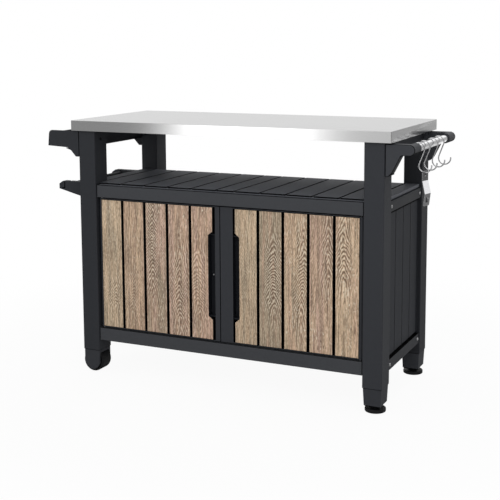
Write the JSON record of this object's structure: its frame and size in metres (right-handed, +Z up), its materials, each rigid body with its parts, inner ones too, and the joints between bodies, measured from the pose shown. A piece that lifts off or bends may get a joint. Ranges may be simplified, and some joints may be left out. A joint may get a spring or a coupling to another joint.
{
  "type": "grill cart with storage",
  "caption": "Outdoor grill cart: steel worktop over an open deck and a cabinet with plank-faced doors, side tray, paper roll holder, hook bar, wheels at the left end.",
  "frame": {"origin": "on the floor, under the middle of the cabinet", "axes": "+X to the right along the length, +Y to the back, +Z up; the doors face -Y"},
  "size_m": [1.3647, 0.52, 0.9],
  "materials": {
    "dark_resin": "satin moulded graphite resin, fine grain",
    "oak_plank": "limed oak look, brushed grain, matt",
    "brushed_steel": "satin stainless sheet, brushed lengthwise",
    "polished_steel": "bright round steel",
    "opener_steel": "satin steel strip, bare",
    "zinc_steel": "zinc plated",
    "wheel_plastic": "black moulded plastic, scuffed tread",
    "foot_plastic": "black moulded plastic",
    "catch_plastic": "black moulded plastic"
  },
  "bodies": {
    "cart": {"leg_front_right": "dark_resin", "leg_rear_right": "dark_resin", "leg_front_left": "dark_resin", "leg_rear_left": "dark_resin", "rail_front_upper": "dark_resin", "rail_front_lower": "dark_resin", "rail_rear_upper": "dark_resin", "rail_rear_lower": "dark_resin", "side_rail_right_upper": "dark_resin", "side_rail_left_upper": "dark_resin", "side_rail_right_lower": "dark_resin", "side_rail_left_lower": "dark_resin", "side_screws": "zinc_steel", "cabinet_deck": "dark_resin", "cabinet_floor": "dark_resin", "inner_shelf": "dark_resin", "side_panel_right": "dark_resin", "side_panel_left": "dark_resin", "back_panel": "dark_resin", "worktop_sheet": "brushed_steel", "worktop_frame": "dark_resin", "apron_right": "dark_resin", "apron_left": "dark_resin", "apron_rear": "dark_resin", "foot_sleeves": "dark_resin", "wheel_housing_front": "dark_resin", "wheel_housing_rear": "dark_resin", "wheel_axles": "zinc_steel", "door_pins": "zinc_steel", "magnet_catches": "catch_plastic", "condiment_tray": "dark_resin", "roll_arm_front": "dark_resin", "roll_arm_rear": "dark_resin", "bar_bracket_front": "dark_resin", "bar_bracket_rear": "dark_resin", "towel_bar": "polished_steel"},
    "door_left": {"door_left": "dark_resin", "door_left_handle_cup": "dark_resin", "door_left_plank_1": "oak_plank", "door_left_plank_2": "oak_plank", "door_left_plank_3": "oak_plank", "door_left_plank_4": "oak_plank", "door_left_plank_5": "oak_plank"},
    "door_right": {"door_right": "dark_resin", "door_right_handle_cup": "dark_resin", "door_right_plank_1": "oak_plank", "door_right_plank_2": "oak_plank", "door_right_plank_3": "oak_plank", "door_right_plank_4": "oak_plank", "door_right_plank_5": "oak_plank"},
    "wheel_front": {"wheel_front": "wheel_plastic"},
    "wheel_rear": {"wheel_rear": "wheel_plastic"},
    "levelling_foot_front": {"levelling_foot_front": "foot_plastic"},
    "levelling_foot_rear": {"levelling_foot_rear": "foot_plastic"},
    "roll_rod": {"roll_rod": "dark_resin"},
    "hook_1": {"hook_1": "polished_steel"},
    "hook_2": {"hook_2": "polished_steel"},
    "hook_3": {"hook_3": "polished_steel"},
    "hook_4": {"hook_4": "polished_steel"},
    "bottle_opener": {"bottle_opener": "opener_steel"}
  },
  "joints": [
    {"name": "door_left_hinge", "type": "hinge", "parent": "cart", "child": "door_left", "pos_m": [-0.4775, -0.229, 0.3985], "axis": [0, 0, -1], "range_deg": [0, 92]},
    {"name": "door_right_hinge", "type": "hinge", "parent": "cart", "child": "door_right", "pos_m": [0.4775, -0.229, 0.3985], "axis": [0, 0, 1], "range_deg": [0, 92]},
    {"name": "wheel_front_spin", "type": "hinge", "parent": "cart", "child": "wheel_front", "pos_m": [-0.523, -0.212, 0.04], "axis": [0, 1, 0], "continuous": true},
    {"name": "wheel_rear_spin", "type": "hinge", "parent": "cart", "child": "wheel_rear", "pos_m": [-0.523, 0.212, 0.04], "axis": [0, 1, 0], "continuous": true},
    {"name": "levelling_foot_front_turn", "type": "hinge", "parent": "cart", "child": "levelling_foot_front", "pos_m": [0.523, -0.212, 0.02], "axis": [0, 0, 1], "continuous": true},
    {"name": "levelling_foot_rear_turn", "type": "hinge", "parent": "cart", "child": "levelling_foot_rear", "pos_m": [0.523, 0.212, 0.02], "axis": [0, 0, 1], "continuous": true},
    {"name": "roll_rod_spin", "type": "hinge", "parent": "cart", "child": "roll_rod", "pos_m": [-0.649, 0, 0.66], "axis": [0, 1, 0], "continuous": true},
    {"name": "hook_1_swing", "type": "hinge", "parent": "cart", "child": "hook_1", "pos_m": [0.6325, -0.153, 0.8425], "axis": [0, -1, 0], "range_deg": [-25, 60]},
    {"name": "hook_2_swing", "type": "hinge", "parent": "cart", "child": "hook_2", "pos_m": [0.6325, -0.091, 0.8425], "axis": [0, -1, 0], "range_deg": [-60, 60]},
    {"name": "hook_3_swing", "type": "hinge", "parent": "cart", "child": "hook_3", "pos_m": [0.6325, 0.003, 0.8425], "axis": [0, -1, 0], "range_deg": [-60, 60]},
    {"name": "hook_4_swing", "type": "hinge", "parent": "cart", "child": "hook_4", "pos_m": [0.6325, 0.08, 0.8425], "axis": [0, -1, 0], "range_deg": [-60, 60]},
    {"name": "bottle_opener_swing", "type": "hinge", "parent": "hook_1", "child": "bottle_opener", "pos_m": [0.65644, -0.153, 0.76619], "axis": [1, 0, 0], "range_deg": [-30, 30]}
  ]
}
